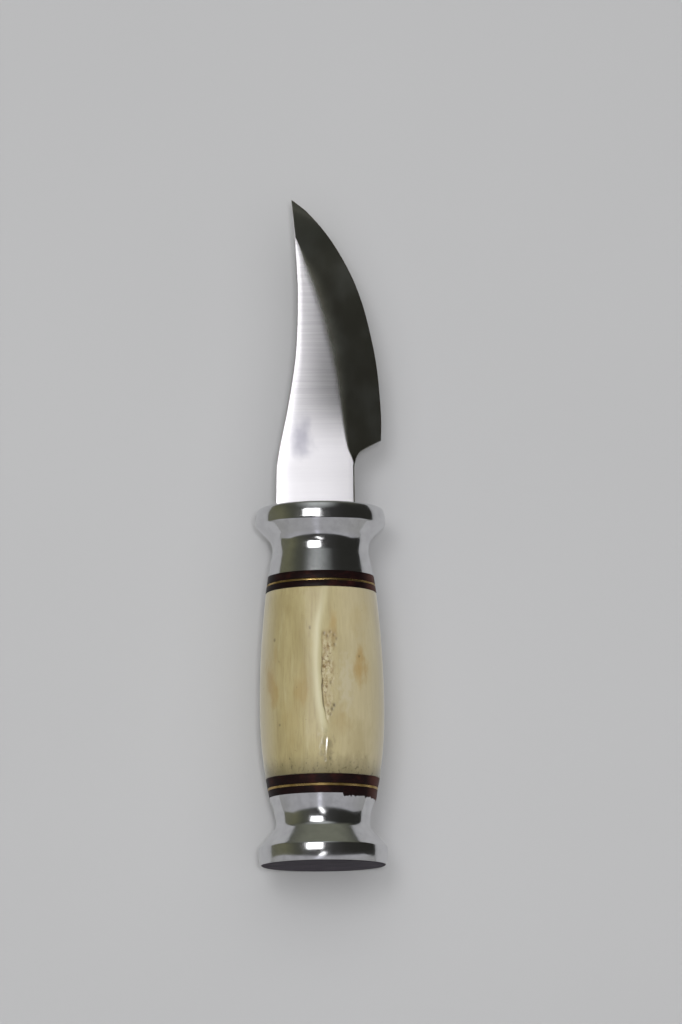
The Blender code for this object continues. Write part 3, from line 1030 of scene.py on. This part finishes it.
def make_blade(material):
    stations = evenly(shoulder_gap, ricasso_length, ricasso_rows)
    stations += evenly(ricasso_length, heel_station, notch_rows)[1:]
    # Rows come closer together towards the tip
    angles = evenly(0, math.pi / 2, edge_rows)[1:]
    stations += [between(heel_station, blade_length, math.sin(angle)) for angle in angles]
    rings, bevel, edge = [], [], []
    for along in stations:
        ring, bevel_marks, edge_marks = blade_ring(along)
        rings.append(ring)
        bevel += bevel_marks
        edge += edge_marks
    # The shoulder steps in to the tang, whose rings have the same count of points
    first = rings[0]
    back, front = min(point.x for point in first), max(point.x for point in first)
    squeeze = tang_thickness / 2 / (max(point.z for point in first) - axis_height)
    tang = []
    for width, y in ((tang_end_width, tang_end), (tang_width, blade_start + shoulder_gap)):
        shares = [(point.x - back) / (front - back) for point in first]
        heights = [axis_height + (point.z - axis_height) * squeeze for point in first]
        tang.append([Vector((width * (share - 0.5), y, up)) for share, up in zip(shares, heights)])
    tang_centre = Vector((0, tang_end, axis_height))
    tip_centre = sum(rings[-1], Vector()) / len(first)
    rings = [[tang_centre], *tang, *rings, [tip_centre]]
    inside = [0.0] * (1 + 2 * len(first))
    mesh = skin("ground_blade", rings)
    for name, values in (("bevel", bevel), ("edge", edge)):
        mesh.attributes.new(name, "FLOAT", "POINT").data.foreach_set("value", inside + values + [1.0])
    # The stud is a plain bar that starts inside the tang
    stud = [oval(stud_diameter / 2, 1, y) for y in (tang_end + stud_root, tang_end - stud_length)]
    shape = bmesh.new()
    shape.from_mesh(mesh)
    rows = [[shape.verts.new(point) for point in ring] for ring in stud]
    for i in range(oval_steps):
        j = (i + 1) % oval_steps
        shape.faces.new((rows[0][i], rows[0][j], rows[1][j], rows[1][i]))
    shape.faces.new(rows[0])
    shape.faces.new(rows[1])
    bmesh.ops.recalc_face_normals(shape, faces=shape.faces)
    shape.to_mesh(mesh)
    shape.free()
    mesh.set_sharp_from_angle(angle=sharp_angle)
    add_piece("ground_blade", mesh, material, "blade")


# Floor, light and camera

floor_size = 14
camera_tilt = math.radians(12)
camera_turn = math.radians(-0.5895)
camera_distance = 1.0533
camera_aim = Vector((0.0055, 0.0037, 0.0147))
lens = 140
sensor = 36
# Lamps: name, leans to the right and the tip in degrees, distance, size, power, turn, seen in metal or not
lamps = (
    ("key_softbox", -11.7, 9.5, 1.0, (0.37, 0.42), 2.25, 0, True),
    ("small_lamp", -2, -15, 1.0, (0.10, 0.26), 0.20, -35, True),
    ("broad_fill", 6, 3, 1.6, (3.6, 3.6), 30.0, 0, False),
    ("near_lamp", 3.5, -8, 1.05, (0.10, 0.10), 2.7, 0, False),
)
# The glowing card past the pommel, a painted reflection seen only in polished metal. It fades out above
# card_fade, and its tone goes from the first to the second
card_width = 0.6
card_height = 0.196
card_fade = 0.154
card_gap = 0.030
card_tones = ((164, 164, 162), (180, 180, 183))
# A brighter stripe on it: place across, half width, the heights where it begins and is full, tone
stripe_place = -0.012
stripe_half_width = 0.014
stripe_heights = (0.070, 0.120)
stripe_tone = (244, 244, 255)
# The room seen in the metal, from the far left to the far right
room_tones = (
    (0.00, srgb(110, 110, 94)),
    (0.08, srgb(110, 110, 88)),
    (0.18, srgb(82, 83, 72)),
    (0.35, srgb(66, 66, 64)),
    (0.55, srgb(62, 62, 61)),
    (0.78, srgb(48, 48, 45)),
    (1.00, srgb(46, 46, 43)),
)
# Soft glows in it: way, stretch, tone. Each is full up to one distance and gone at the other
glow_full = 0.15
glow_reach = 1.1
glows = (
    ((-0.07, 0.66, 0.75), (2.1, 2.9, 1.0), srgb(194, 198, 196)),
    ((0.0, 0.95, 0.28), (1.1, 1.4, 2.0), srgb(124, 126, 112)),
)


def add_sheet(name, corners, material):
    mesh = bpy.data.meshes.new(name)
    mesh.from_pydata(corners, [], [(0, 1, 2, 3)])
    mesh.materials.append(material)
    sheet = bpy.data.objects.new(name, mesh)
    bpy.context.scene.collection.objects.link(sheet)
    return sheet


def make_floor():
    cloth = Finish("pale_floor", Roughness=0.9, Specular_IOR_Level=0.2)
    tone = cloth.tones(cloth.noise((6, 6, 6), detail=2), (184, 184, 186), (190, 190, 192))
    half = floor_size / 2
    corners = [(-half, -half, 0), (half, -half, 0), (half, half, 0), (-half, half, 0)]
    floor = add_sheet("floor", corners, cloth.use(Base_Color=tone))


def add_lamp(name, lean_right, lean_tip, distance, size, power, turn, reflected):
    """A flat lamp that faces the knife from a direction given by its leans from straight above."""
    leans = (math.tan(math.radians(lean)) for lean in (lean_right, lean_tip))
    direction = Vector((*leans, 1)).normalized()
    light = bpy.data.lights.new(name, "AREA")
    light.shape = "RECTANGLE"
    light.size, light.size_y = size
    light.energy = power
    lamp = bpy.data.objects.new(name, light)
    lamp.location = direction * distance
    across = Vector((0, 1, 0)).cross(direction).normalized()
    facing = Matrix((across, direction.cross(across), direction)).transposed()
    lamp.rotation_euler = (facing @ Matrix.Rotation(math.radians(turn), 3, "Z")).to_euler()
    lamp.visible_glossy = reflected
    bpy.context.scene.collection.objects.link(lamp)


def make_glowing_card():
    """A glowing card just past the pommel, a painted reflection of the cloth that rises there. Only polished
    metal sees it.
    """
    glowing_card_finish = Finish("glowing_card", Base_Color=(0, 0, 0, 1), Specular_IOR_Level=0.0, Emission_Strength=1.0)
    up = glowing_card_finish.coordinate("Z")
    tone = glowing_card_finish.tones(glowing_card_finish.span(up, 0.0, card_fade), *card_tones)
    away = glowing_card_finish.maths("ABSOLUTE", glowing_card_finish.maths("SUBTRACT", glowing_card_finish.coordinate("X"), stripe_place))
    stripe = glowing_card_finish.span(away, stripe_half_width, 0.0)
    tone = glowing_card_finish.tint(tone, stripe, glowing_card_finish.span(up, *stripe_heights), stripe_tone)
    material = glowing_card_finish.use(Emission_Color=tone, Alpha=glowing_card_finish.span(up, card_height, card_fade))
    half = card_width / 2
    corners = [(-half, 0, 0), (half, 0, 0), (half, 0, card_height), (-half, 0, card_height)]
    card = add_sheet("glowing_card", corners, material)
    card.location.y = pommel_node.start - card_gap
    card.visible_camera = False
    card.visible_diffuse = False
    card.visible_shadow = False


def make_world():
    world = bpy.data.worlds.new("room")
    world.use_nodes = True
    tree = world.node_tree
    background = tree.nodes["Background"]
    way = add_node(tree, "TexCoord").outputs["Generated"]
    parts = add_node(tree, "SeparateXYZ", {0: way})
    across = add_node(tree, "MapRange", {"Value": parts.outputs["X"], "From Min": -1.0, "From Max": 1.0})
    room = add_node(tree, "ValToRGB", {0: across.outputs["Result"]})
    tones = room.color_ramp.elements
    tones[0].position, tones[0].color = room_tones[0]
    tones[1].position, tones[1].color = room_tones[-1]
    for position, tone in room_tones[1:-1]:
        tones.new(position).color = tone
    colour = room.outputs["Color"]
    for centre, stretch, tone in glows:
        glow = smooth_span(tree, distance_from(tree, way, centre, stretch), glow_reach, glow_full)
        colour = add_node(tree, "Mix", {0: glow, 6: colour, 7: tone}, data_type="RGBA").outputs[2]
    tree.links.new(colour, background.inputs["Color"])
    bpy.context.scene.world = world


def make_camera():
    scene = bpy.context.scene
    data = bpy.data.cameras.new("camera")
    data.lens = lens
    data.sensor_width = sensor
    camera = bpy.data.objects.new("camera", data)
    turn = Matrix.Rotation(camera_turn, 3, "Z") @ Matrix.Rotation(camera_tilt, 3, "X")
    camera.location = camera_aim + turn @ Vector((0, 0, camera_distance))
    camera.rotation_euler = turn.to_euler()
    scene.collection.objects.link(camera)
    scene.camera = camera
    scene.view_settings.view_transform = "Standard"


steel = make_steel()
aluminium = make_aluminium()
liner = make_liner()
brass = make_brass()
bone = make_bone_finish()

make_blade(steel)
make_guard(aluminium)
make_pommel(aluminium)
make_bone(bone)
for place in ("front", "rear"):
    for layer in ("outer", "inner"):
        filler = (place, layer) == ("rear", "outer")
        make_spacer(f"{place}_{layer}_liner", f"{place}_{layer}_fibre_liner", liner, filler)
    make_spacer(f"{place}_brass_ring", f"{place}_brass_washer", brass)
hidden_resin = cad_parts["bedding_resin"]
hidden_resin.data.materials.clear()
hidden_resin.data.materials.append(make_resin())

make_floor()
make_glowing_card()
for lamp in lamps:
    add_lamp(*lamp)
make_world()
make_camera()
